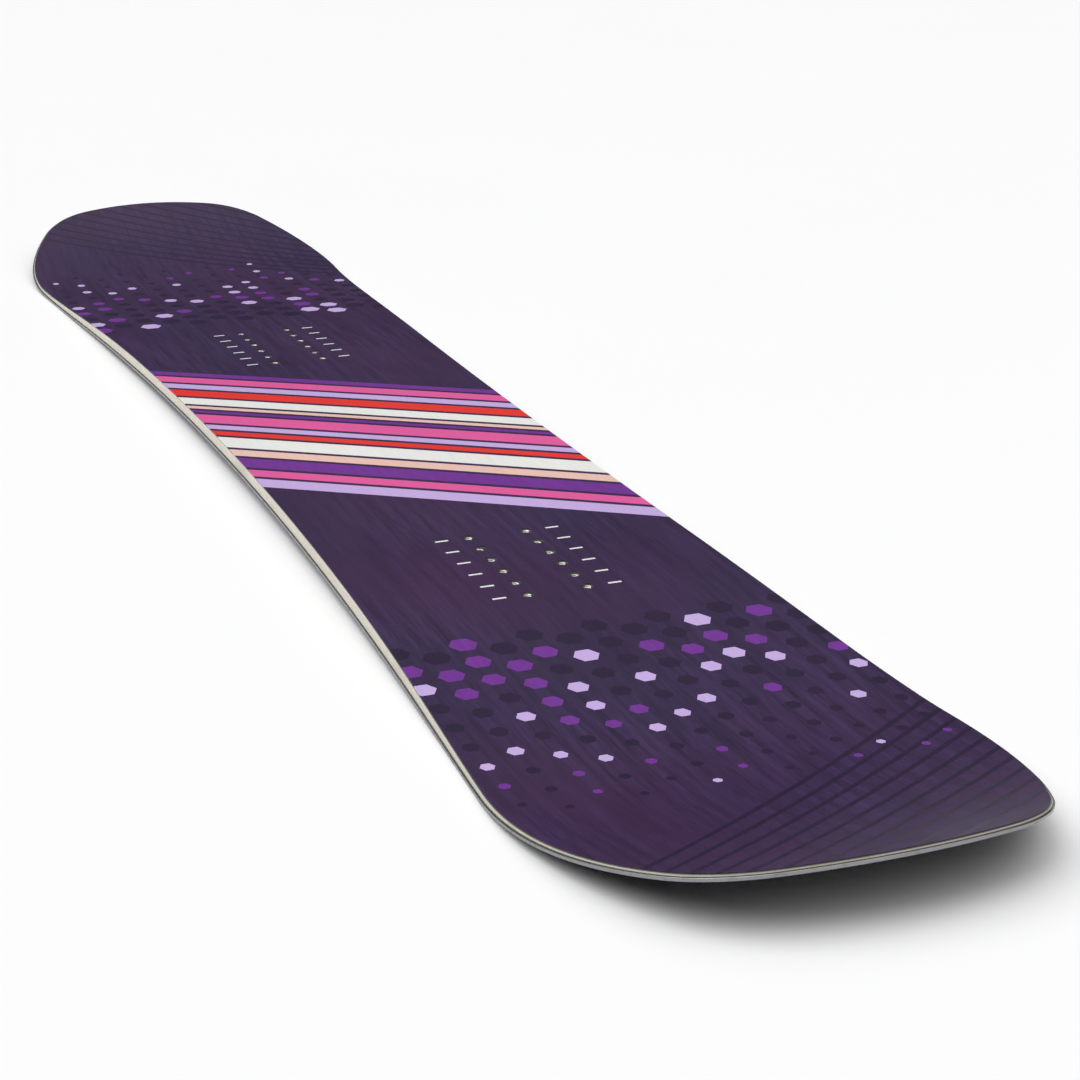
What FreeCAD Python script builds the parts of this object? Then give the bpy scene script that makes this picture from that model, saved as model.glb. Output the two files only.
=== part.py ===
import FreeCAD, Part

import math
import os

# Twin-tip snowboard, 146 cm. Millimetres. X runs along the board, Y across it, Z up,
# and Z = 0 is the plane the base touches when the board lies on a floor.

# ---- plan outline: one quarter is a sidecut arc and three tangent arcs to the tip ----
LENGTH = 1460.0
WAIST = 236.3
SIDECUT_RADIUS = 6761.0
SIDECUT_HALF = 544.5
SHOULDER_RADIUS = 245.1
SHOULDER_HEADING = math.radians(30.1)
CORNER_HEADING = math.radians(75.6)

# ---- side profile: camber arc, reverse arc to the contact line, then the tip arc ----
CAMBER_RADIUS = 15263.0
CAMBER_HALF = 446.1
REVERSE_RADIUS = 2513.0
TIP_RADIUS = 639.0
THICK_CENTRE = 9.1
THICK_TIP = 3.9
TAPER_START = 262.0
TAPER_END = 646.0

# ---- layer thicknesses, from the base up ----
BASE_SHEET = 1.2
TANG = 0.5
FOIL = 0.3
LOWER_GLASS = 0.4
UPPER_GLASS = 0.4
TOPSHEET = 0.45
EDGE_TOP = BASE_SHEET + TANG + FOIL
CORE_BOTTOM = EDGE_TOP + LOWER_GLASS

# ---- rim: steel edge, sidewall, and how far each stands in from the outline ----
EDGE_WIDTH = 2.0
TANG_REACH = 7.0
SIDEWALL_REACH = 12.0
EDGE_LEDGE = 0.8
TOP_INSET = 2.27
SPACER_JOINT = 545.0

# ---- core: laminated stringers that end in an arc before each tip ----
CORE_HALF = 640.0
CORE_END_RADIUS = 180.0
STRINGER = 20.0
STRINGERS_PER_SIDE = 5

# ---- binding inserts: two rows of six, M6, in each foot's group ----
GROUP_SPACING = 534.0
ROW_HALF = 20.0
INSERT_PITCH = 20.0
INSERTS_PER_ROW = 6
BARREL_RADIUS = 4.7
FLANGE_RADIUS = 8.0
FLANGE_THICK = 1.2
BORE_RADIUS = 2.5
LEAD_IN = 0.5
DISC_RADIUS = 8.5
DISC_THICK = 0.3
TOP_HOLE_RADIUS = 4.0

REACH = 1000.0
CURVE_STEP = 15.0
PLANE_LOW = -12.0
PLANE_HIGH = 70.0


def smoothstep(u):
    u = min(max(u, 0.0), 1.0)
    return u * u * (3.0 - 2.0 * u)


def thickness(x):
    """Total thickness of the board at a distance x from its centre."""
    blend = smoothstep((abs(x) - TAPER_START) / (TAPER_END - TAPER_START))
    return THICK_CENTRE + (THICK_TIP - THICK_CENTRE) * blend


def base_height(x):
    """Height of the base at x, and the slope angle of the base there."""
    u = abs(x)
    camber_end = math.asin(CAMBER_HALF / CAMBER_RADIUS)
    contact = CAMBER_HALF + REVERSE_RADIUS * math.sin(camber_end)
    if u >= contact:
        angle = math.asin((u - contact) / TIP_RADIUS)
        height = TIP_RADIUS * (1.0 - math.cos(angle))
    elif u >= CAMBER_HALF:
        angle = -math.asin((contact - u) / REVERSE_RADIUS)
        height = REVERSE_RADIUS * (1.0 - math.cos(angle))
    else:
        angle = -math.asin(u / CAMBER_RADIUS)
        rise = (REVERSE_RADIUS + CAMBER_RADIUS) * (1.0 - math.cos(camber_end))
        height = rise - CAMBER_RADIUS * (1.0 - math.cos(angle))
    return height, math.copysign(angle, angle * x)


def constant(depth):
    """A layer interface at a fixed distance above the base."""
    return lambda x: depth


def below_top(depth):
    """A layer interface at a fixed distance below the top surface."""
    return lambda x: thickness(x) - depth


def interface_point(x, level):
    height, angle = base_height(x)
    rise = level(x)
    return FreeCAD.Vector(x - rise * math.sin(angle), -REACH / 2, height + rise * math.cos(angle))


def interface_edge(level):
    """The side-view line of one layer interface, run a little past both tips."""
    steps = math.ceil((LENGTH / 2 + CURVE_STEP) / CURVE_STEP)
    points = [interface_point(i * CURVE_STEP, level) for i in range(-steps, steps + 1)]
    curve = Part.BSplineCurve()
    curve.interpolate(points)
    return curve.toShape()


def slab(lower, upper):
    """Everything between two layer interfaces, wider than the board."""
    low = interface_edge(lower)
    high = interface_edge(upper)
    start = Part.makeLine(low.Vertexes[0].Point, high.Vertexes[0].Point)
    end = Part.makeLine(low.Vertexes[-1].Point, high.Vertexes[-1].Point)
    face = Part.Face(Part.Wire([low, end, high, start]))
    return face.extrude(FreeCAD.Vector(0, REACH, 0))


def arc_centres():
    """Centre, radius and heading range of the four arcs of one quarter of the outline."""
    spread = math.asin(SIDECUT_HALF / SIDECUT_RADIUS)
    start_y = WAIST / 2 + SIDECUT_RADIUS * (1.0 - math.cos(spread))
    headings = [spread, -SHOULDER_HEADING, -CORNER_HEADING, -math.pi / 2]

    def run(a, b):
        return math.sin(a) - math.sin(b), math.cos(b) - math.cos(a)

    first = run(headings[0], headings[1])
    second = run(headings[1], headings[2])
    third = run(headings[2], headings[3])
    left_x = LENGTH / 2 - SIDECUT_HALF - SHOULDER_RADIUS * first[0]
    left_y = -start_y - SHOULDER_RADIUS * first[1]
    scale = second[0] * third[1] - third[0] * second[1]
    corner_radius = (left_x * third[1] - left_y * third[0]) / scale
    tip_radius = (second[0] * left_y - second[1] * left_x) / scale

    arcs = [((0.0, WAIST / 2 + SIDECUT_RADIUS), -SIDECUT_RADIUS, 0.0, spread)]
    x, y = SIDECUT_HALF, start_y
    radii = [SHOULDER_RADIUS, corner_radius, tip_radius]
    for radius, a, b in zip(radii, headings, headings[1:]):
        centre = (x + radius * math.sin(a), y - radius * math.cos(a))
        arcs.append((centre, radius, a, b))
        x = centre[0] - radius * math.sin(b)
        y = centre[1] + radius * math.cos(b)
    return arcs


ARCS = arc_centres()


def arc_point(arc, heading, inset):
    """A point of one outline arc, moved inwards; a negative radius curves outwards."""
    (cx, cy), radius = arc[0], arc[1] - inset
    return cx - radius * math.sin(heading), cy + radius * math.cos(heading)


def prism(inset):
    """The outline moved inwards by a fixed amount, as a tall vertical solid."""

    def arc(one, a, b, side_x, side_y):
        places = [arc_point(one, a + (b - a) * f, inset) for f in (0.0, 0.5, 1.0)]
        return Part.Arc(*[FreeCAD.Vector(side_x * px, side_y * py, 0) for px, py in places]).toShape()

    edges = []
    sidecut, shoulder, corner, tip = ARCS
    for side in (1, -1):
        edges.append(arc(sidecut, -sidecut[3], sidecut[3], 1, side))
        edges.append(arc(tip, tip[2], -math.pi - tip[2], side, 1))
        for end in (1, -1):
            edges.append(arc(shoulder, shoulder[2], shoulder[3], end, side))
            edges.append(arc(corner, corner[2], corner[3], end, side))
    wire = Part.Wire(Part.__sortEdges__(edges))
    wire.translate(FreeCAD.Vector(0, 0, PLANE_LOW))
    return Part.Face(wire).extrude(FreeCAD.Vector(0, 0, PLANE_HIGH - PLANE_LOW))


def bevel_inset(x, z):
    """How far in from the outline the sloping sidewall stands at height z."""
    height, angle = base_height(x)
    low = height + EDGE_TOP / math.cos(angle)
    high = height + thickness(x) / math.cos(angle)
    return EDGE_LEDGE + (TOP_INSET - EDGE_LEDGE) * (z - low) / (high - low)


def bevel_quarter(z, side_x, side_y):
    """One quarter of the sloping sidewall's trace in the horizontal plane at height z."""
    counts = [36, 10, 14, 8]
    points = []
    for arc, count in zip(ARCS, counts):
        for i in range(count):
            heading = arc[2] + (arc[3] - arc[2]) * i / count
            points.append((arc, heading))
    points.append((ARCS[-1], -math.pi / 2))
    places, outline, lengths = [], [], []
    for arc, heading in points:
        x, y = arc_point(arc, heading, 0.0)
        px, py = arc_point(arc, heading, bevel_inset(x, z))
        places.append(FreeCAD.Vector(side_x * px, side_y * py, z))
        lengths.append(math.dist(outline[-1], (x, y)) + lengths[-1] if outline else 0.0)
        outline.append((x, y))
    total = lengths[-1]
    curve = Part.BSplineCurve()
    curve.interpolate(
        Points=places,
        Parameters=[length / total for length in lengths],
        InitialTangent=FreeCAD.Vector(side_x * total, 0, 0),
        FinalTangent=FreeCAD.Vector(0, -side_y * total, 0),
        Scale=False,
    )
    return curve.toShape()


def bevelled():
    """The whole board above the steel edge, bounded by its sloping sides."""
    order = ((1, 1), (1, -1), (-1, -1), (-1, 1))
    loops = []
    for z in (PLANE_LOW, PLANE_HIGH):
        quarters = [bevel_quarter(z, sx, sy) for sx, sy in order]
        loops.append(Part.Wire(Part.__sortEdges__(quarters)))
    return Part.makeLoft(loops, True, True)


def box(x0, x1, y0, y1):
    corner = FreeCAD.Vector(x0, y0, PLANE_LOW)
    return Part.makeBox(x1 - x0, y1 - y0, PLANE_HIGH - PLANE_LOW, corner)


def half(side):
    """Everything on one side of the board's long centre plane."""
    return box(-REACH, REACH, 0, REACH) if side > 0 else box(-REACH, REACH, -REACH, 0)


def insert_places(group):
    """Plan positions of one foot's inserts; group is +1 for the nose end, -1 for the tail."""
    first = -INSERT_PITCH * (INSERTS_PER_ROW - 1) / 2
    return [
        (group * (GROUP_SPACING / 2 + first + INSERT_PITCH * i), side * ROW_HALF)
        for i in range(INSERTS_PER_ROW)
        for side in (1, -1)
    ]


def upright(x, y, radius, z0, z1):
    return Part.makeCylinder(radius, z1 - z0, FreeCAD.Vector(x, y, z0))


def seat_levels(x):
    """Heights at one insert: underside of its flange, top of its flange, top of the core."""
    height, angle = base_height(x)
    flange = height + (CORE_BOTTOM + DISC_THICK) / math.cos(angle)
    top = height + (thickness(x) - TOPSHEET - UPPER_GLASS) / math.cos(angle)
    return flange, flange + FLANGE_THICK, top


def insert_blank(x, y):
    """Outside of one insert, run up past the core so the core's own faces trim it."""
    flange, shoulder, top = seat_levels(x)
    disc = upright(x, y, DISC_RADIUS, flange - 3 * DISC_THICK, flange)
    body = upright(x, y, FLANGE_RADIUS, flange, shoulder)
    barrel = upright(x, y, BARREL_RADIUS, flange, top + 1.0)
    return disc, body.fuse(barrel).removeSplitter()


def insert_solid(x, y, core_slab):
    """A flanged threaded insert with a small lead-in at its mouth."""
    flange, _, top = seat_levels(x)
    mouth = FreeCAD.Vector(x, y, top - LEAD_IN)
    bore = upright(x, y, BORE_RADIUS, flange - 1.0, top + 1.0)
    lead = Part.makeCone(BORE_RADIUS, BORE_RADIUS + 2 * LEAD_IN, 2 * LEAD_IN, mouth)
    return insert_blank(x, y)[1].common(core_slab).cut(bore).cut(lead)


def core_plan():
    """Plan shape of the wood core: inside the sidewalls, with an arc at each end."""
    straight = CORE_HALF - CORE_END_RADIUS
    middle = box(-straight, straight, -CORE_END_RADIUS, CORE_END_RADIUS)
    ends = [upright(side * straight, 0, CORE_END_RADIUS, PLANE_LOW, PLANE_HIGH) for side in (1, -1)]
    return middle.fuse(ends).removeSplitter().common(prism(SIDEWALL_REACH))


def stringer_band(index):
    """Y limits of one core stringer; the outermost ones run out to the sidewall."""
    low = (index - 0.5) * STRINGER
    high = (index + 0.5) * STRINGER
    if index == STRINGERS_PER_SIDE:
        high = REACH / 2
    if index == -STRINGERS_PER_SIDE:
        low = -REACH / 2
    return low, high


def only_solids(shape):
    """The solids of a boolean result, as one shape."""
    solids = shape.Solids
    return solids[0] if len(solids) == 1 else Part.makeCompound(solids)


def save(node, shape):
    only_solids(shape).exportStep("parts/" + node + ".step")


def make_running_base():
    """Base sheet, steel edges and the rubber foils that bed the edges' tangs."""
    inner = prism(EDGE_WIDTH)
    save("base_sheet", slab(constant(0.0), constant(BASE_SHEET)).common(inner))

    rim = inner.cut(prism(TANG_REACH))
    rail = slab(constant(0.0), constant(EDGE_TOP)).common(prism(0.0).cut(inner))
    tang = slab(constant(BASE_SHEET), constant(BASE_SHEET + TANG)).common(rim)
    foil = slab(constant(BASE_SHEET + TANG), constant(EDGE_TOP)).common(rim)
    for name, side in (("heel", 1), ("toe", -1)):
        save("edge_" + name, rail.common(half(side)).fuse(tang.common(half(side))))
        save("foil_" + name, foil.common(half(side)))


def make_laminates(outside, holes):
    """The glass laminates above and below the core, and the topsheet."""
    over_edge = slab(constant(EDGE_TOP), constant(CORE_BOTTOM)).common(outside)
    between_tangs = slab(constant(BASE_SHEET), constant(EDGE_TOP)).common(prism(TANG_REACH))
    save("lower_glass", over_edge.fuse(between_tangs))
    upper = slab(below_top(TOPSHEET + UPPER_GLASS), below_top(TOPSHEET))
    save("upper_glass", upper.common(outside).cut(holes))
    save("topsheet", slab(below_top(TOPSHEET), below_top(0.0)).common(outside).cut(holes))


def make_rim(core_level, outside):
    """Sidewalls along both sides and a spacer round each tip."""
    layer = core_level.common(outside).cut(core_plan())
    sides = layer.common(box(-SPACER_JOINT, SPACER_JOINT, -REACH, REACH))
    save("sidewall_heel", sides.common(half(1)))
    save("sidewall_toe", sides.common(half(-1)))
    save("spacer_nose", layer.common(box(SPACER_JOINT, REACH, -REACH, REACH)))
    save("spacer_tail", layer.common(box(-REACH, -SPACER_JOINT, -REACH, REACH)))


def make_core(core_level):
    """Wood stringers with the pockets that hold the inserts."""
    pockets = []
    for x, y in insert_places(1) + insert_places(-1):
        pockets.extend(insert_blank(x, y))
    core = core_level.common(core_plan()).cut(Part.makeCompound(pockets))
    for index in range(-STRINGERS_PER_SIDE, STRINGERS_PER_SIDE + 1):
        low, high = stringer_band(index)
        name = "stringer_%02d" % (index + STRINGERS_PER_SIDE + 1)
        save(name, core.common(box(-REACH, REACH, low, high)))


def make_inserts(core_level):
    """The two groups of inserts and the thin discs that close them underneath."""
    for name, group in (("front", 1), ("rear", -1)):
        places = insert_places(group)
        inserts = [insert_solid(x, y, core_level) for x, y in places]
        discs = [insert_blank(x, y)[0].common(core_level) for x, y in places]
        save("inserts_" + name, Part.makeCompound(inserts))
        save("discs_" + name, Part.makeCompound(discs))


def main():
    os.makedirs("parts", exist_ok=True)
    outside = bevelled()
    core_level = slab(constant(CORE_BOTTOM), below_top(TOPSHEET + UPPER_GLASS))
    places = insert_places(1) + insert_places(-1)
    holes = [upright(x, y, TOP_HOLE_RADIUS, 0.0, PLANE_HIGH) for x, y in places]
    make_running_base()
    make_laminates(outside, Part.makeCompound(holes))
    make_rim(core_level, outside)
    make_core(core_level)
    make_inserts(core_level)


main()
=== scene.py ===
import math
import random

import bmesh
import bpy
import numpy as np
from mathutils import Matrix, Vector
from mathutils.geometry import delaunay_2d_cdt


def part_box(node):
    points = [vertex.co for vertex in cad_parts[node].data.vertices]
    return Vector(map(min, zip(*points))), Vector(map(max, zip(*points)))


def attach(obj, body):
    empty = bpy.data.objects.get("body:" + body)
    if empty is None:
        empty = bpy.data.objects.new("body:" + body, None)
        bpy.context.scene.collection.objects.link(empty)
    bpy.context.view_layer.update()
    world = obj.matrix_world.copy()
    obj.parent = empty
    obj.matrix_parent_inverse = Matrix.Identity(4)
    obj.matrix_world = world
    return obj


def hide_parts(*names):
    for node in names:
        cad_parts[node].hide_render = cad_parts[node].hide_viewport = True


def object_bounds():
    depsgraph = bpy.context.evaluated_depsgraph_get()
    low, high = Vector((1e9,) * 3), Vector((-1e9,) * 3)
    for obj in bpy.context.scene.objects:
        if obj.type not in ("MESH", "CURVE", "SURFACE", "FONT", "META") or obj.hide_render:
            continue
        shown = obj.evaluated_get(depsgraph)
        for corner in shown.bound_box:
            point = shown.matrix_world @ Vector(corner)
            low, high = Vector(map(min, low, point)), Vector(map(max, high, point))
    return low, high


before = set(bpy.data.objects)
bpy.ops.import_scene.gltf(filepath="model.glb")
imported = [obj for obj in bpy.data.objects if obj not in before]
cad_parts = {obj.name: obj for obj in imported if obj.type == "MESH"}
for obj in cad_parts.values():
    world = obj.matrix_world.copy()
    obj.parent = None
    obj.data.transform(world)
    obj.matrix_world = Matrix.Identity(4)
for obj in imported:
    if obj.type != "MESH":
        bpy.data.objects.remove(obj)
cad_low, cad_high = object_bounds()

MM = 0.001

# ---- plan outline, in metres: a sidecut arc and three tangent arcs per quarter ----
LENGTH = cad_high.x - cad_low.x
WAIST = 236.3 * MM
SIDECUT_RADIUS = 6761.0 * MM
SIDECUT_HALF = 544.5 * MM
SHOULDER_RADIUS = 245.1 * MM
SHOULDER_HEADING = math.radians(30.1)
CORNER_HEADING = math.radians(75.6)

# ---- side profile ----
CAMBER_RADIUS = 15263.0 * MM
CAMBER_HALF = 446.1 * MM
REVERSE_RADIUS = 2513.0 * MM
TIP_RADIUS = 639.0 * MM
THICK_CENTRE = 9.1 * MM
THICK_TIP = 3.9 * MM
TAPER_START = 262.0 * MM
TAPER_END = 646.0 * MM

# ---- layers and rim ----
BASE_SHEET = 1.2 * MM
TANG_TOP = 1.7 * MM
EDGE_TOP = 2.0 * MM
CORE_BOTTOM = 2.4 * MM
TOPSHEET = 0.45 * MM
UPPER_GLASS = 0.4 * MM
EDGE_WIDTH = 2.0 * MM
TANG_REACH = 7.0 * MM
SIDEWALL_REACH = 12.0 * MM
EDGE_LEDGE = 0.8 * MM
TOP_INSET = 2.27 * MM
EDGE_CHAMFER = 0.18 * MM
SPACER_JOINT = 545.0 * MM
CORE_HALF = 640.0 * MM
CORE_END_RADIUS = 180.0 * MM

# ---- inserts: centres come from the CAD groups' boxes ----
ROW_HALF = 20.0 * MM
INSERT_PITCH = 20.0 * MM
INSERTS_PER_ROW = 6
BARREL_RADIUS = 4.7 * MM
FLANGE_RADIUS = 8.0 * MM
FLANGE_THICK = 1.2 * MM
DISC_THICK = 0.3 * MM
THREAD_MINOR = 2.5 * MM
THREAD_MAJOR = 3.0 * MM
THREAD_PITCH = 1.0 * MM
LEAD_IN = 0.5 * MM
TOP_HOLE_RADIUS = 4.0 * MM
INSERT_SIDES = 28

# steps between outline samples on the sidecut, shoulder, corner and tip arcs
ARC_STEPS = (8.0 * MM, 6.0 * MM, 3.5 * MM, 6.0 * MM)
SHARP = math.radians(28)


# ---------------------------------------------------------------- board shape

def smoothstep(u):
    u = min(max(u, 0.0), 1.0)
    return u * u * (3.0 - 2.0 * u)


def thickness(x):
    blend = smoothstep((abs(x) - TAPER_START) / (TAPER_END - TAPER_START))
    return THICK_CENTRE + (THICK_TIP - THICK_CENTRE) * blend


def base_height(x):
    """Height of the base at x and its slope angle there."""
    u = abs(x)
    camber_end = math.asin(CAMBER_HALF / CAMBER_RADIUS)
    contact = CAMBER_HALF + REVERSE_RADIUS * math.sin(camber_end)
    if u >= contact:
        angle = math.asin((u - contact) / TIP_RADIUS)
        return TIP_RADIUS * (1.0 - math.cos(angle)), angle
    if u >= CAMBER_HALF:
        angle = math.asin((contact - u) / REVERSE_RADIUS)
        return REVERSE_RADIUS * (1.0 - math.cos(angle)), angle
    angle = math.asin(u / CAMBER_RADIUS)
    rise = (REVERSE_RADIUS + CAMBER_RADIUS) * (1.0 - math.cos(camber_end))
    return rise - CAMBER_RADIUS * (1.0 - math.cos(angle)), angle


def above(depth):
    """A level at a fixed distance above the base."""
    return lambda x: depth


def below(depth):
    """A level at a fixed distance below the top surface."""
    return lambda x: thickness(x) - depth


def level_z(x, level):
    height, angle = base_height(x)
    return height + level(x) / math.cos(angle)


def level_normal(x, level):
    step = 0.5 * MM
    rise = (level_z(x + step, level) - level_z(x - step, level)) / (2 * step)
    return Vector((-rise, 0.0, 1.0)).normalized()


def bevel(level):
    """Inset of the sloping sidewall at a level, as a function of x."""
    def inset(x):
        part = (level(x) - EDGE_TOP) / (thickness(x) - EDGE_TOP)
        return EDGE_LEDGE + (TOP_INSET - EDGE_LEDGE) * part
    return inset


def arc_list():
    """Centre, radius and heading range of one quarter's four arcs."""
    spread = math.asin(SIDECUT_HALF / SIDECUT_RADIUS)
    start_y = WAIST / 2 + SIDECUT_RADIUS * (1.0 - math.cos(spread))
    headings = [spread, -SHOULDER_HEADING, -CORNER_HEADING, -math.pi / 2]
    runs = [(math.sin(a) - math.sin(b), math.cos(b) - math.cos(a)) for a, b in zip(headings, headings[1:])]
    left = np.array([LENGTH / 2 - SIDECUT_HALF, -start_y]) - SHOULDER_RADIUS * np.array(runs[0])
    corner_radius, tip_radius = np.linalg.solve(np.array(runs[1:]).T, left)
    arcs = [((0.0, WAIST / 2 + SIDECUT_RADIUS), -SIDECUT_RADIUS, 0.0, spread)]
    x, y = SIDECUT_HALF, start_y
    for radius, a, b in zip((SHOULDER_RADIUS, corner_radius, tip_radius), headings, headings[1:]):
        centre = (x + radius * math.sin(a), y - radius * math.cos(a))
        arcs.append((centre, radius, a, b))
        x = centre[0] - radius * math.sin(b)
        y = centre[1] + radius * math.cos(b)
    return arcs


def rim_samples():
    """The closed outline from the heel waist round the nose: x, y and outward direction."""
    quarter = []
    for (centre, radius, a, b), step in zip(arc_list(), ARC_STEPS):
        count = math.ceil(abs(radius * (b - a)) / step)
        for i in range(count):
            h = a + (b - a) * i / count
            quarter.append((centre[0] - radius * math.sin(h), centre[1] + radius * math.cos(h),
                            -math.sin(h), math.cos(h)))
    quarter.append((LENGTH / 2, 0.0, 1.0, 0.0))
    quarter = np.array(quarter)
    toe = quarter[::-1][1:] * (1, -1, 1, -1)
    nose = np.vstack([quarter, toe])
    tail = nose[::-1][1:-1] * (-1, 1, -1, 1)
    return np.vstack([nose, tail])


RIM = rim_samples()
QUARTER = len(RIM) // 4


# ---------------------------------------------------------------- mesh helpers

def add_object(name, mesh, material):
    piece = bpy.data.objects.new(name, mesh)
    bpy.context.scene.collection.objects.link(piece)
    mesh.materials.append(material)
    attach(piece, "root")
    return piece


def smooth_by_angle(mesh, limit=SHARP):
    """Smooth shading with hard edges where the surface turns sharply."""
    work = bmesh.new()
    work.from_mesh(mesh)
    bmesh.ops.recalc_face_normals(work, faces=work.faces)
    for face in work.faces:
        face.smooth = True
    for edge in work.edges:
        edge.smooth = edge.calc_face_angle(0.0) < limit
    work.to_mesh(mesh)
    work.free()


def inside(polygon, points):
    """Which points a polygon winds around."""
    polygon = np.asarray(polygon)
    low, high = polygon.min(0), polygon.max(0)
    near = np.all((points >= low) & (points <= high), axis=1)
    x, y = points[near].T
    count = np.zeros(len(x), int)
    for (x0, y0), (x1, y1) in zip(polygon, np.roll(polygon, -1, 0)):
        left = (x1 - x0) * (y - y0) - (x - x0) * (y1 - y0)
        count += (y0 <= y) & (y1 > y) & (left > 0)
        count -= (y0 > y) & (y1 <= y) & (left < 0)
    hit = np.zeros(len(points), bool)
    hit[near] = count != 0
    return hit


def rim_at(inset):
    return RIM[:, :2] - inset * RIM[:, 2:]


def triangulate(inset, polygons):
    """Plan triangles inside the rim, cut along cross stations and along every polygon."""
    count = len(RIM)
    points = [Vector(p) for p in rim_at(inset)]
    edges = [(i, (i + 1) % count) for i in range(count)]
    edges += [(i, (2 * QUARTER - i) % count) for i in range(count) if i < (2 * QUARTER - i) % count]
    for polygon in polygons:
        start = len(points)
        points += [Vector(p) for p in polygon]
        edges += [(start + i, start + (i + 1) % len(polygon)) for i in range(len(polygon))]
    verts, _, faces = delaunay_2d_cdt(points, edges, [], 0, 1e-7)[:3]
    verts = np.array(verts)
    faces = np.array([f for f in faces if len(f) == 3])
    middle = verts[faces].mean(1)
    keep = inside(rim_at(inset), middle)
    return verts, faces[keep], middle[keep]


def rim_links(verts, inset):
    """For plan vertices on the rim: the outline point and outward direction there."""
    ring = rim_at(inset)
    links = np.full((len(verts), 4), np.nan)
    for i, (a, b) in enumerate(zip(ring, np.roll(ring, -1, 0))):
        run = b - a
        along = np.clip((verts - a) @ run / (run @ run), 0.0, 1.0)
        away = np.linalg.norm(verts - a - along[:, None] * run, axis=1)
        on = away < 2e-6
        t = along[on][:, None]
        links[on] = RIM[i] * (1 - t) + RIM[(i + 1) % len(RIM)] * t
    return links


def plate(name, plan, faces, levels, insets, material):
    """A closed plate over some plan triangles between two levels, with sloped or upright rims."""
    verts, links = plan
    used, flat = np.unique(faces, return_inverse=True)
    faces = flat.reshape(-1, 3)
    on_rim = ~np.isnan(links[used, 0])
    count = len(used)
    places, ups = [], []
    for level, inset in zip(levels, insets):
        for i, index in enumerate(used):
            x, y = verts[index]
            if on_rim[i]:
                rx, ry, nx, ny = links[index]
                away = inset(rx)
                x, y = rx - nx * away, ry - ny * away
            places.append((x, y, level_z(x, level)))
            ups.append(level_normal(x, level))
    directed = {(a, b) for f in faces.tolist() for a, b in zip(f, f[1:] + f[:1])}
    border = sorted((a, b) for a, b in directed if (b, a) not in directed)
    polygons = [(a + count, b + count, c + count) for a, b, c in faces.tolist()]
    normals = [ups[v] for f in polygons for v in f]
    under = [(c, b, a) for a, b, c in faces.tolist()]
    normals += [-ups[v] for f in under for v in f]
    for a, b in border:
        under.append((a, b, b + count, a + count))
        if on_rim[a] and on_rim[b]:
            out = {v: Vector((*links[used[v], 2:], 0.0)) for v in (a, b)}
            normals += [out[a], out[b], out[b], out[a]]
        else:
            run = Vector(places[b]) - Vector(places[a])
            normals += [run.cross(Vector((0, 0, 1))).normalized()] * 4
    mesh = bpy.data.meshes.new(name)
    mesh.from_pydata(places, [], polygons + under)
    mesh.polygons.foreach_set("use_smooth", [True] * len(mesh.polygons))
    mesh.normals_split_custom_set(normals)
    return add_object(name, mesh, material)


def rail(name, indices, section, material):
    """A closed bar that follows the rim; section lists (inset, level) pairs round its cross-section."""
    places = []
    for i in indices:
        rx, ry, nx, ny = RIM[i % len(RIM)]
        for inset, level in section:
            away = inset(rx) if callable(inset) else inset
            x, y = rx - nx * away, ry - ny * away
            places.append((x, y, level_z(x, level)))
    size, count = len(section), len(indices)
    faces = [tuple(range(size)), tuple(range(size * (count - 1), size * count))]
    for i in range(count - 1):
        for j in range(size):
            k = (j + 1) % size
            faces.append((i * size + j, i * size + k, (i + 1) * size + k, (i + 1) * size + j))
    mesh = bpy.data.meshes.new(name)
    mesh.from_pydata(places, [], faces)
    smooth_by_angle(mesh)
    return add_object(name, mesh, material)


# ---------------------------------------------------------------- topsheet pattern

# slanted stripes between the feet, hexagons that shrink towards the ends, hatching at both tips
STRIPE_SLANT = math.radians(32)
STRIPE_THINNEST = 6.0 * MM
STRIPE_WIDEST = 26.0 * MM
STRIPE_GAP = 5.0 * MM
STRIPE_FIELD = 0.105 * LENGTH
HEX_PITCH = 24.0 * MM
HEX_LARGEST = 9.0 * MM
HEX_START = 0.255 * LENGTH
HEX_END = 0.40 * LENGTH
HATCH_PITCH = 15.0 * MM
HATCH_WIDTH = 4.0 * MM
HATCH_START = 0.415 * LENGTH
TICK_LENGTH = 9.0 * MM
TICK_WIDTH = 2.0 * MM
TICK_OFFSET = 14.0 * MM
BASE_BARS = 5
BASE_BAR_START = 0.06 * LENGTH
BASE_BAR_STEP = 0.062 * LENGTH
BASE_BAR_WIDTH = 60.0 * MM
BASE_BAR_THINNING = 0.68

# further out than any point of the board's sides
BEYOND = 0.75 * WAIST

ART = []


def paint(colour, polygon):
    ART.append((colour, np.asarray(polygon, float)))


def ellipse(cx, cy, a, b, turn=0.0, count=40):
    t = np.linspace(0, 2 * np.pi, count, endpoint=False)
    u, v = a * np.cos(t), b * np.sin(t)
    c, s = math.cos(math.radians(turn)), math.sin(math.radians(turn))
    return np.stack([cx + u * c - v * s, cy + u * s + v * c], 1)


def slanted_bar(x, width, slant):
    """A bar right across the board, leaning along it."""
    lean = BEYOND * math.tan(slant)
    return [(x - lean, -BEYOND), (x + width - lean, -BEYOND), (x + width + lean, BEYOND), (x + lean, BEYOND)]


def draw_stripes():
    """Slanted stripes of uneven width across the middle of the board."""
    rng = random.Random(3)
    colours = ("violet", "pink", "lilac", "red", "white", "peach")
    x, k = -STRIPE_FIELD, 0
    while x < STRIPE_FIELD:
        width = rng.uniform(STRIPE_THINNEST, STRIPE_WIDEST)
        paint(colours[k % len(colours)], slanted_bar(x, width, STRIPE_SLANT))
        x += width + STRIPE_GAP
        k += 1


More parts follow.
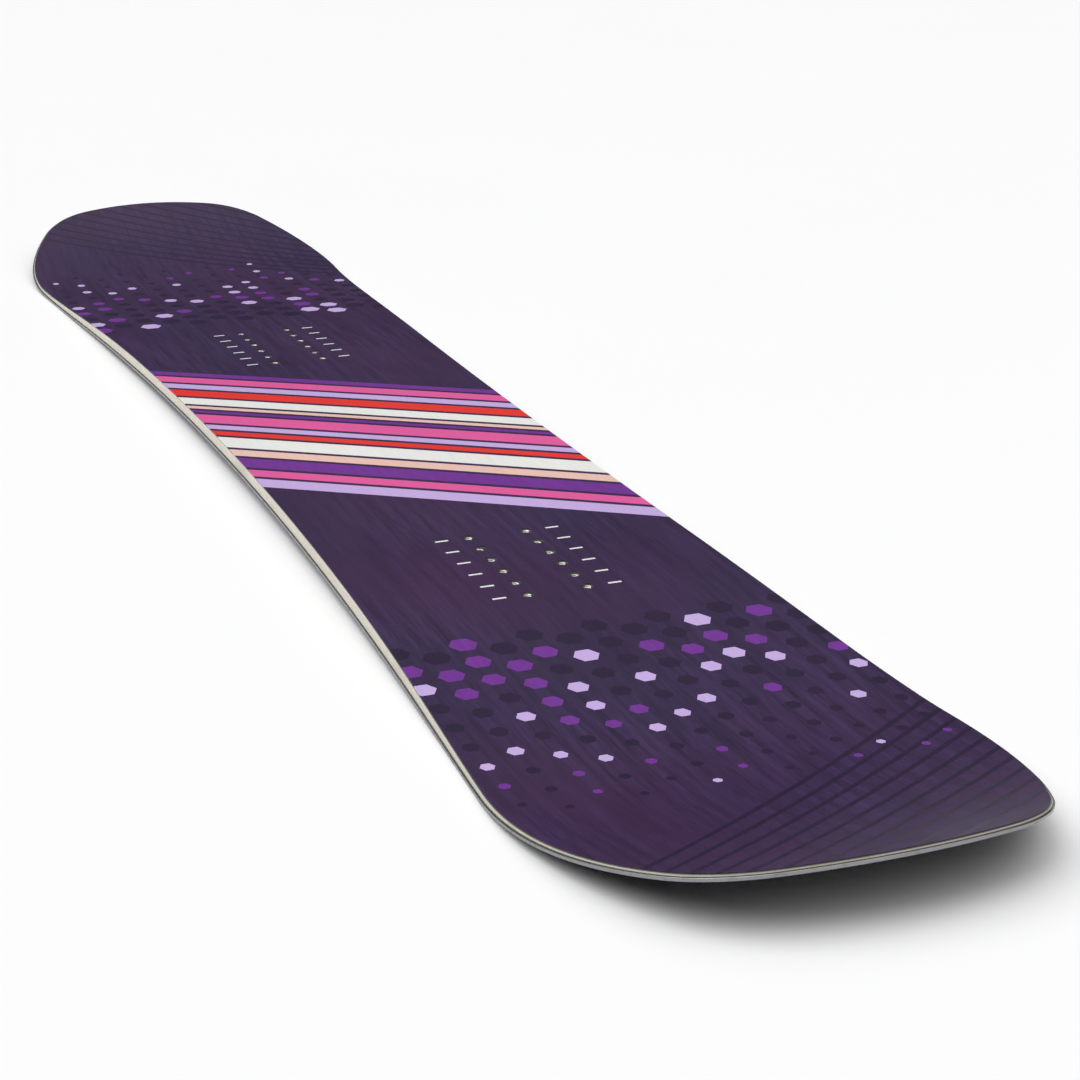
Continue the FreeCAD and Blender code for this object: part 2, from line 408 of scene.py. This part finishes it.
def draw_hexagons():
    """A honeycomb outside each foot that shrinks away towards the tip."""
    rng = random.Random(8)
    row_step = HEX_PITCH * math.sqrt(0.75)
    rows = math.ceil(0.5 * WAIST / row_step)
    for side in (1, -1):
        x = HEX_START
        while x < HEX_END:
            size = HEX_LARGEST * (1.0 - 0.75 * (x - HEX_START) / (HEX_END - HEX_START))
            for row in range(-rows, rows + 1):
                shift = 0.5 * HEX_PITCH * (row % 2)
                colour = rng.choice(("shade", "shade", "shade", "violet", "lilac"))
                paint(colour, ellipse(side * (x + shift), row * row_step, size, size, 30, 6))
            x += HEX_PITCH


def draw_hatching():
    """Darker hatching, tone on tone, over both upturned ends."""
    for side in (1, -1):
        x = HATCH_START
        while x < 0.6 * LENGTH:
            paint("shade", slanted_bar(side * x, HATCH_WIDTH, -side * STRIPE_SLANT))
            x += HATCH_PITCH


def draw_stance_ticks():
    """A short tick outside each insert, to read the stance from."""
    for side in (1, -1):
        for x, y in INSERT_PLACES:
            inner = y + math.copysign(TICK_OFFSET, y)
            outer = inner + math.copysign(TICK_LENGTH, y)
            cx = side * x
            paint("white", [(cx - TICK_WIDTH / 2, inner), (cx + TICK_WIDTH / 2, inner),
                            (cx + TICK_WIDTH / 2, outer), (cx - TICK_WIDTH / 2, outer)])


# ---------------------------------------------------------------- materials

def linear(rgb):
    """Display colour, 0 to 255, to a linear colour."""
    values = [c / 255 for c in rgb]
    return tuple(c / 12.92 if c <= 0.04045 else ((c + 0.055) / 1.055) ** 2.4 for c in values) + (1.0,)


class Finish:
    """A material under construction: its nodes, links and Principled shader."""

    def __init__(self, name, rgb, roughness, metallic=0.0, specular=0.5):
        self.material = bpy.data.materials.new(name)
        self.material.use_nodes = True
        self.tree = self.material.node_tree
        self.shader = self.tree.nodes["Principled BSDF"]
        self.colour = linear(rgb)
        self.shader.inputs["Roughness"].default_value = roughness
        self.shader.inputs["Metallic"].default_value = metallic
        self.shader.inputs["Specular IOR Level"].default_value = specular
        self.place = self.tree.nodes.new("ShaderNodeTexCoord").outputs["Object"]

    def node(self, kind, **values):
        made = self.tree.nodes.new("ShaderNode" + kind)
        for key, value in values.items():
            setattr(made, key, value)
        return made

    def link(self, source, target):
        self.tree.links.new(source, target)

    def noise(self, scale, stretch=(1, 1, 1), turn=0.0, detail=3.0, rough=0.55):
        """Noise in metres, stretched and turned in plan; returns its factor output."""
        mapping = self.node("Mapping")
        mapping.inputs["Rotation"].default_value = (0, 0, math.radians(turn))
        mapping.inputs["Scale"].default_value = stretch
        noise = self.node("TexNoise")
        noise.inputs["Scale"].default_value = scale
        noise.inputs["Detail"].default_value = detail
        noise.inputs["Roughness"].default_value = rough
        self.link(self.place, mapping.inputs["Vector"])
        self.link(mapping.outputs["Vector"], noise.inputs["Vector"])
        return noise.outputs["Fac"]

    def spread(self, source, low, high, new_low=0.0, new_high=1.0):
        made = self.node("MapRange")
        for name, value in zip(("From Min", "From Max", "To Min", "To Max"), (low, high, new_low, new_high)):
            made.inputs[name].default_value = value
        self.link(source, made.inputs["Value"])
        return made.outputs["Result"]

    def blend(self, factor, first, second):
        """Mixes two colours; each is an output or a colour value."""
        made = self.node("Mix", data_type="RGBA")
        for socket, value in ((made.inputs[0], factor), (made.inputs[6], first), (made.inputs[7], second)):
            if isinstance(value, bpy.types.NodeSocket):
                self.link(value, socket)
            else:
                socket.default_value = value
        return made.outputs[2]

    def shaded(self, factor, darker, lighter):
        """The base colour varied between two multiples of itself."""
        dark = tuple(c * darker for c in self.colour[:3]) + (1.0,)
        light = tuple(min(1.0, c * lighter) for c in self.colour[:3]) + (1.0,)
        return self.blend(factor, dark, light)

    def bump(self, source, strength, distance):
        made = self.node("Bump")
        made.inputs["Strength"].default_value = strength
        made.inputs["Distance"].default_value = distance
        self.link(source, made.inputs["Height"])
        if self.shader.inputs["Normal"].is_linked:
            self.link(self.shader.inputs["Normal"].links[0].from_socket, made.inputs["Normal"])
        self.link(made.outputs["Normal"], self.shader.inputs["Normal"])

    def done(self, colour=None, roughness=None):
        if colour is not None:
            self.link(colour, self.shader.inputs["Base Color"])
        if roughness is not None:
            self.link(roughness, self.shader.inputs["Roughness"])
        return self.material


def print_finish(name, rgb, streak=0.10, roughness=0.42):
    """Printed topsheet: a fine diagonal brushed grain through the ink, and a slight orange peel."""
    f = Finish(name, rgb, roughness, specular=0.35)
    grain = f.noise(70, (0.3, 4.0, 1.0), 24, 4.0, 0.62)
    fine = f.noise(350, (0.25, 4.0, 1.0), 24, 2.0)
    both = f.blend(0.45, grain, fine)
    factor = f.spread(both, 0.3, 0.7)
    f.bump(both, 0.12, 0.00006)
    cloudy = f.noise(9, detail=2.0)
    gloss = f.spread(cloudy, 0.3, 0.7, roughness - 0.05, roughness + 0.07)
    return f.done(f.shaded(factor, 1.0 - streak, 1.0 + streak), gloss)


def ground_finish():
    """The purple ground: stronger grain streaks and broad cloudy shifts towards blue and wine."""
    f = Finish("purple_ground", (54, 39, 72), 0.46, specular=0.3)
    grain = f.noise(48, (0.25, 4.0, 1.0), 24, 6.0, 0.7)
    fine = f.noise(300, (0.2, 4.5, 1.0), 24, 2.0)
    both = f.blend(0.3, grain, fine)
    streaks = f.shaded(f.spread(both, 0.36, 0.64), 0.55, 1.6)
    wine = f.blend(f.spread(f.noise(5, detail=3.0), 0.42, 0.66, 0.0, 0.55), streaks, linear((66, 38, 72)))
    clouds = f.spread(f.noise(3.1, (1, 1.6, 1), 40, 2.0), 0.40, 0.62, 0.0, 0.45)
    dusk = f.blend(clouds, wine, linear((46, 38, 66)))
    f.bump(both, 0.15, 0.00008)
    gloss = f.spread(f.noise(8, detail=2.0), 0.3, 0.7, 0.38, 0.50)
    return f.done(dusk, gloss)


def sidewall_finish():
    """Cream ABS with the fine long lines that the milling cutter leaves, and a little grime."""
    f = Finish("cream_abs", (234, 227, 212), 0.46)
    lines = f.noise(60, (0.4, 1.0, 40.0), 0, 3.0)
    grime = f.noise(24, (1, 1, 3), 0, 4.0)
    f.bump(lines, 0.2, 0.00008)
    base = f.shaded(f.spread(lines, 0.3, 0.7), 0.93, 1.04)
    colour = f.blend(f.spread(grime, 0.52, 0.75, 0.0, 0.35), base, linear((186, 172, 148)))
    return f.done(colour, f.spread(grime, 0.3, 0.7, 0.40, 0.56))


def steel_finish():
    """Ground steel edge: fine grinding lines along the edge and slightly uneven polish."""
    f = Finish("edge_steel", (150, 150, 154), 0.3, metallic=1.0)
    lines = f.noise(90, (0.6, 0.6, 60.0), 0, 3.0)
    spots = f.noise(160, detail=3.0)
    f.bump(lines, 0.25, 0.00005)
    colour = f.blend(f.spread(spots, 0.55, 0.75, 0.0, 0.6), f.shaded(lines, 0.75, 1.1), linear((104, 98, 92)))
    return f.done(colour, f.spread(spots, 0.3, 0.7, 0.22, 0.42))


def base_finish(name, rgb):
    """Running base: stone-ground crosshatch structure and a faint wax bloom."""
    f = Finish(name, rgb, 0.5, specular=0.4)
    first = f.noise(420, (0.1, 4.0, 1.0), 12, 2.0)
    second = f.noise(420, (0.1, 4.0, 1.0), -12, 2.0)
    hatch = f.blend(0.5, first, second)
    bloom = f.noise(7, detail=4.0)
    f.bump(hatch, 0.3, 0.00008)
    colour = f.blend(f.spread(bloom, 0.5, 0.8, 0.0, 0.10), f.shaded(f.spread(hatch, 0.35, 0.65), 0.8, 1.15),
                     linear((120, 118, 122)))
    return f.done(colour, f.spread(bloom, 0.3, 0.7, 0.42, 0.60))


def laminate_finish():
    """Glass cloth in resin: a fine crossing weave, slightly green and see-through in look."""
    f = Finish("glass_laminate", (118, 122, 104), 0.38)
    weft = f.noise(500, (0.2, 3.0, 1.0), 45, 1.0)
    warp = f.noise(500, (0.2, 3.0, 1.0), -45, 1.0)
    weave = f.blend(0.5, weft, warp)
    f.bump(weave, 0.2, 0.00005)
    return f.done(f.shaded(f.spread(weave, 0.35, 0.65), 0.78, 1.18), f.spread(weft, 0.3, 0.7, 0.3, 0.46))


def wood_finish(name, rgb, ring, shift):
    """Planed wood, grain along the board: growth lines, pores and a tone shift per stringer."""
    f = Finish(name, rgb, 0.55)
    rings = f.noise(ring, (0.05, 3.0, 3.0), shift, 4.0, 0.6)
    pores = f.noise(900, (0.03, 2.0, 2.0), 0, 2.0)
    grain = f.shaded(f.spread(rings, 0.35, 0.65), 0.72, 1.12)
    dark = tuple(c * 0.45 for c in f.colour[:3]) + (1.0,)
    colour = f.blend(f.spread(pores, 0.6, 0.8, 0.0, 0.5), grain, dark)
    f.bump(pores, 0.2, 0.0001)
    return f.done(colour, f.spread(rings, 0.3, 0.7, 0.48, 0.62))


def rubber_finish():
    """Matte rubber with a fine speckle."""
    f = Finish("foil_rubber", (30, 30, 32), 0.72, specular=0.3)
    speck = f.noise(500, detail=3.0)
    f.bump(speck, 0.3, 0.00006)
    return f.done(f.shaded(f.spread(speck, 0.3, 0.7), 0.75, 1.3), f.spread(speck, 0.3, 0.7, 0.62, 0.8))


def insert_finish():
    """Turned stainless steel: fine rings from the lathe and a soft worn shine."""
    f = Finish("insert_steel", (196, 194, 190), 0.26, metallic=1.0)
    rings = f.noise(700, (1, 1, 9.0), 0, 2.0)
    wear = f.noise(240, detail=4.0)
    f.bump(rings, 0.2, 0.00004)
    colour = f.blend(f.spread(wear, 0.5, 0.75, 0.0, 0.5), f.shaded(rings, 0.8, 1.08), linear((150, 143, 132)))
    return f.done(colour, f.spread(wear, 0.3, 0.7, 0.18, 0.40))


def disc_finish():
    """Thin off-white plastic, slightly mottled."""
    f = Finish("disc_plastic", (216, 214, 208), 0.5)
    mottle = f.noise(300, detail=3.0)
    f.bump(mottle, 0.15, 0.00004)
    return f.done(f.shaded(f.spread(mottle, 0.3, 0.7), 0.9, 1.04), f.spread(mottle, 0.3, 0.7, 0.42, 0.58))


# ---------------------------------------------------------------- parts of the board

INKS = {
    "shade": (40, 27, 56), "white": (232, 232, 228), "lilac": (196, 170, 222), "pink": (222, 92, 156),
    "peach": (232, 192, 180), "red": (226, 56, 46), "violet": (112, 50, 144),
}


def insert_holes():
    places = [(side * x, y) for side in (1, -1) for x, y in INSERT_PLACES]
    return [ellipse(x, y, TOP_HOLE_RADIUS, TOP_HOLE_RADIUS, 0, 32) for x, y in places]


def without_holes(faces, middle, holes):
    keep = np.ones(len(faces), bool)
    for hole in holes:
        keep &= ~inside(hole, middle)
    return faces[keep], middle[keep]


def make_topsheet():
    """The printed topsheet, one inlaid plate per colour, all sharing their borders."""
    for draw in (draw_hatching, draw_hexagons, draw_stripes, draw_stance_ticks):
        draw()
    holes = insert_holes()
    inset = TOP_INSET
    verts, faces, middle = triangulate(inset, [polygon for _, polygon in ART] + holes)
    faces, middle = without_holes(faces, middle, holes)
    colours = np.full(len(faces), "ground", dtype=object)
    for colour, polygon in ART:
        colours[inside(polygon, middle)] = colour
    plan = (verts, rim_links(verts, inset))
    levels = (below(TOPSHEET), below(0.0))
    insets = (bevel(levels[0]), bevel(levels[1]))
    plain = faces[colours == "ground"]
    ground = plate("sheet_ground", plan, plain, levels, insets, ground_finish())
    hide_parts("topsheet")
    for colour, rgb in INKS.items():
        streak = 0.16 if colour in ("shade", "violet") else 0.05
        plate("print_" + colour, plan, faces[colours == colour], levels, insets,
              print_finish("ink_" + colour, rgb, streak))


def make_upper_glass():
    """The glass cloth under the topsheet, with the same holes."""
    holes = insert_holes()
    inset = TOP_INSET
    verts, faces, middle = triangulate(inset, holes)
    faces, _ = without_holes(faces, middle, holes)
    levels = (below(TOPSHEET + UPPER_GLASS), below(TOPSHEET))
    piece = plate("glass_top", (verts, rim_links(verts, inset)), faces, levels,
                  (bevel(levels[0]), bevel(levels[1])), GLASS)
    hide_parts("upper_glass")


def make_lower_glass():
    """The glass cloth over the edges, and the resin and cloth that fill the step between them."""
    verts, faces, _ = triangulate(EDGE_LEDGE, [])
    levels = (above(EDGE_TOP), above(CORE_BOTTOM))
    cover = plate("glass_bottom", (verts, rim_links(verts, EDGE_LEDGE)), faces, levels,
                  (bevel(levels[0]), bevel(levels[1])), GLASS)
    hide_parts("lower_glass")
    verts, faces, _ = triangulate(TANG_REACH, [])
    upright = (lambda x: TANG_REACH,) * 2
    plate("glass_fill", (verts, rim_links(verts, TANG_REACH)), faces,
          (above(BASE_SHEET), above(EDGE_TOP)), upright, GLASS)


def make_base():
    """The running base, die-cut in two colours: slanted bars that thin out towards the tips."""
    bars = []
    for side in (1, -1):
        for k in range(BASE_BARS):
            start = side * (BASE_BAR_START + BASE_BAR_STEP * k)
            width = side * BASE_BAR_WIDTH * BASE_BAR_THINNING ** k
            bars.append(np.array(slanted_bar(start, width, side * STRIPE_SLANT)))
    verts, faces, middle = triangulate(EDGE_WIDTH, bars)
    barred = np.zeros(len(faces), bool)
    for bar in bars:
        barred |= inside(bar, middle)
    plan = (verts, rim_links(verts, EDGE_WIDTH))
    levels = (above(0.0), above(BASE_SHEET))
    upright = (lambda x: EDGE_WIDTH,) * 2
    black, purple = base_finish("base_black", (34, 32, 38)), base_finish("base_purple", (92, 58, 128))
    ground = plate("base_ground", plan, faces[~barred], levels, upright, black)
    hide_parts("base_sheet")
    plate("base_bars", plan, faces[barred], levels, upright, purple)


def make_edges():
    """Steel edges with their tangs, one round each long side, meeting at the tips."""
    steel = steel_finish()
    section = [
        (EDGE_CHAMFER, above(0.0)), (0.0, above(EDGE_CHAMFER)),
        (0.0, above(EDGE_TOP - EDGE_CHAMFER)), (EDGE_CHAMFER, above(EDGE_TOP)),
        (EDGE_WIDTH, above(EDGE_TOP)), (EDGE_WIDTH, above(TANG_TOP)),
        (TANG_REACH, above(TANG_TOP)), (TANG_REACH, above(BASE_SHEET)),
        (EDGE_WIDTH, above(BASE_SHEET)), (EDGE_WIDTH, above(0.0)),
    ]
    for name, start in (("heel", 0), ("toe", 2 * QUARTER)):
        indices = range(start - QUARTER, start + QUARTER + 1)
        piece = rail("steel_" + name, indices, section, steel)
        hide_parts("edge_" + name)


def core_ends():
    """Plan of the core before it meets the sidewalls: straight sides and an arc at each end."""
    turn = np.linspace(-math.pi / 2, math.pi / 2, 49)
    reach = CORE_HALF - CORE_END_RADIUS
    nose = [(reach + CORE_END_RADIUS * math.cos(t), CORE_END_RADIUS * math.sin(t)) for t in turn]
    return np.array(nose + [(-x, -y) for x, y in nose])


def make_sidewalls():
    """Cream sidewalls and tip spacers: the board's plan less its core, cut at the joints."""
    joint = SPACER_JOINT
    between = np.array([(-joint, -BEYOND), (joint, -BEYOND), (joint, BEYOND), (-joint, BEYOND)])
    inner, ends = rim_at(SIDEWALL_REACH), core_ends()
    verts, faces, middle = triangulate(TOP_INSET, [inner, ends, between])
    wall = ~(inside(inner, middle) & inside(ends, middle))
    straight = np.abs(middle[:, 0]) < joint
    plan = (verts, rim_links(verts, TOP_INSET))
    levels = (above(CORE_BOTTOM), below(TOPSHEET + UPPER_GLASS))
    insets = (bevel(levels[0]), bevel(levels[1]))
    cream = sidewall_finish()
    places = {
        "sidewall_heel": straight & (middle[:, 1] > 0), "sidewall_toe": straight & (middle[:, 1] < 0),
        "spacer_nose": ~straight & (middle[:, 0] > 0), "spacer_tail": ~straight & (middle[:, 0] < 0),
    }
    for name, place in places.items():
        piece = plate("cream_" + name, plan, faces[wall & place], levels, insets, cream)
        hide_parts(name)


def insert_rings(flange, top):
    """Profile of the outside of an insert from its mouth down to its flange."""
    chamfer = 0.15 * MM
    return [
        (THREAD_MAJOR, top), (BARREL_RADIUS - chamfer, top), (BARREL_RADIUS, top - chamfer),
        (BARREL_RADIUS, flange + FLANGE_THICK), (FLANGE_RADIUS - chamfer, flange + FLANGE_THICK),
        (FLANGE_RADIUS, flange + FLANGE_THICK - chamfer), (FLANGE_RADIUS, flange), (THREAD_MAJOR, flange),
    ]


def thread_rings(flange, top, sides):
    """The threaded bore from the flange's underside back up to the lead-in."""
    steps = 6
    rings = []
    count = round((top - LEAD_IN - flange) / THREAD_PITCH * steps)
    for i in range(count + 1):
        z = flange + (top - LEAD_IN - flange) * i / count
        ring = []
        for k in range(sides):
            phase = (z / THREAD_PITCH - k / sides) % 1.0
            depth = abs(2.0 * phase - 1.0)
            ring.append((THREAD_MINOR + (THREAD_MAJOR - THREAD_MINOR) * depth, z))
        rings.append(ring)
    return rings


def make_inserts():
    """Every insert is one closed ring of steel with a real thread in its bore."""
    sides = INSERT_SIDES
    steel = insert_finish()
    for name, side in (("front", 1), ("rear", -1)):
        places, faces = [], []
        for px, py in INSERT_PLACES:
            cx = side * px
            flange = level_z(cx, above(CORE_BOTTOM + DISC_THICK))
            top = level_z(cx, below(TOPSHEET + UPPER_GLASS))
            rings = [[point] * sides for point in insert_rings(flange, top)]
            rings += thread_rings(flange, top, sides)
            first = len(places)
            for ring in rings:
                for k, (radius, z) in enumerate(ring):
                    t = 2 * math.pi * k / sides
                    places.append((cx + radius * math.cos(t), py + radius * math.sin(t), z))
            for r in range(len(rings)):
                s = (r + 1) % len(rings)
                for k in range(sides):
                    m = (k + 1) % sides
                    faces.append((first + r * sides + k, first + r * sides + m,
                                  first + s * sides + m, first + s * sides + k))
        mesh = bpy.data.meshes.new("insert_group_" + name)
        mesh.from_pydata(places, [], faces)
        smooth_by_angle(mesh)
        piece = add_object("insert_group_" + name, mesh, steel)
        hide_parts("inserts_" + name)


def dress_cad_nodes():
    """Materials for the CAD nodes that stay as they are: foils, discs and core stringers."""
    rubber, disc = rubber_finish(), disc_finish()
    soft = [wood_finish("poplar_%d" % k, rgb, 34, 3 * k) for k, rgb in
            enumerate(((214, 186, 142), (204, 172, 124), (220, 196, 158)))]
    hard = wood_finish("beech", (182, 138, 98), 60, 4)
    for name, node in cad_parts.items():
        if name.startswith("foil"):
            finish = rubber
        elif name.startswith("discs"):
            finish = disc
        elif name in ("stringer_05", "stringer_07"):
            finish = hard
        elif name.startswith("stringer"):
            finish = soft[int(name[-2:]) % len(soft)]
        else:
            continue
        for place in node.material_slots:
            place.material = finish


# ---------------------------------------------------------------- studio

def make_floor():
    """A wide pale floor with a very soft mottled tone."""
    size = 30.0
    mesh = bpy.data.meshes.new("floor")
    corners = [(-size, -size, 0), (size, -size, 0), (size, size, 0), (-size, size, 0)]
    mesh.from_pydata(corners, [], [(0, 1, 2, 3)])
    floor = bpy.data.objects.new("floor", mesh)
    bpy.context.scene.collection.objects.link(floor)
    f = Finish("pale_floor", (246, 246, 246), 0.8, specular=0.1)
    mesh.materials.append(f.done(f.shaded(f.noise(3, detail=2.0), 0.985, 1.0)))


def make_world():
    """White all round to the eye; as light it is bright overhead and dimmer at the horizon."""
    world = bpy.data.worlds.new("studio")
    bpy.context.scene.world = world
    world.use_nodes = True
    nodes, links = world.node_tree.nodes, world.node_tree.links
    background = nodes["Background"]
    place = nodes.new("ShaderNodeTexCoord").outputs["Generated"]
    split = nodes.new("ShaderNodeSeparateXYZ")
    ramp = nodes.new("ShaderNodeValToRGB")
    ramp.color_ramp.elements[0].position = 0.45
    ramp.color_ramp.elements[0].color = (0.03, 0.03, 0.035, 1)
    ramp.color_ramp.elements[1].position = 0.95
    ramp.color_ramp.elements[1].color = (0.85, 0.85, 0.85, 1)
    path = nodes.new("ShaderNodeLightPath")
    mix = nodes.new("ShaderNodeMix")
    mix.data_type = "RGBA"
    mix.inputs[7].default_value = (0.92, 0.92, 0.92, 1)
    links.new(place, split.inputs["Vector"])
    links.new(split.outputs["Z"], ramp.inputs["Fac"])
    links.new(path.outputs["Is Camera Ray"], mix.inputs[0])
    links.new(ramp.outputs["Color"], mix.inputs[6])
    links.new(mix.outputs[2], background.inputs["Color"])
    background.inputs["Strength"].default_value = 1.0


def add_light(name, direction, spread, strength):
    """A broad, soft light from a direction, the same all over the floor."""
    data = bpy.data.lights.new(name, "SUN")
    data.angle = math.radians(spread)
    data.energy = strength
    lamp = bpy.data.objects.new(name, data)
    bpy.context.scene.collection.objects.link(lamp)
    lamp.rotation_euler = Vector(direction).to_track_quat("Z", "Y").to_euler()


def make_camera():
    """A long lens from beyond the nose, a little to the toe side, angles in radians."""
    pan, tilt, roll = -0.40188, 0.35571, 0.01551
    look = Vector((-math.cos(pan) * math.cos(tilt), -math.sin(pan) * math.cos(tilt), -math.sin(tilt)))
    right = look.cross(Vector((0, 0, 1))).normalized()
    up = right.cross(look)
    right, up = (math.cos(roll) * right + math.sin(roll) * up, math.cos(roll) * up - math.sin(roll) * right)
    data = bpy.data.cameras.new("camera")
    data.sensor_width = 36.0
    data.lens = 78.23
    camera = bpy.data.objects.new("camera", data)
    bpy.context.scene.collection.objects.link(camera)
    turn = Matrix((right, up, -look)).transposed()
    camera.matrix_world = Matrix.Translation((1.5442, -0.5338, 0.5429)) @ turn.to_4x4()
    bpy.context.scene.camera = camera


group_low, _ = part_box("inserts_front")
FIRST_INSERT = group_low[0] + FLANGE_RADIUS
INSERT_PLACES = [(FIRST_INSERT + INSERT_PITCH * i, row)
                 for i in range(INSERTS_PER_ROW) for row in (ROW_HALF, -ROW_HALF)]
GLASS = laminate_finish()

make_topsheet()
make_upper_glass()
make_lower_glass()
make_base()
make_edges()
make_sidewalls()
make_inserts()
dress_cad_nodes()
make_floor()
make_world()
add_light("key", (-0.2, -1.0, 1.5), 60, 1.5)
add_light("fill", (0.9, 0.5, 2.0), 80, 0.9)
make_camera()
bpy.context.scene.view_settings.view_transform = "Standard"
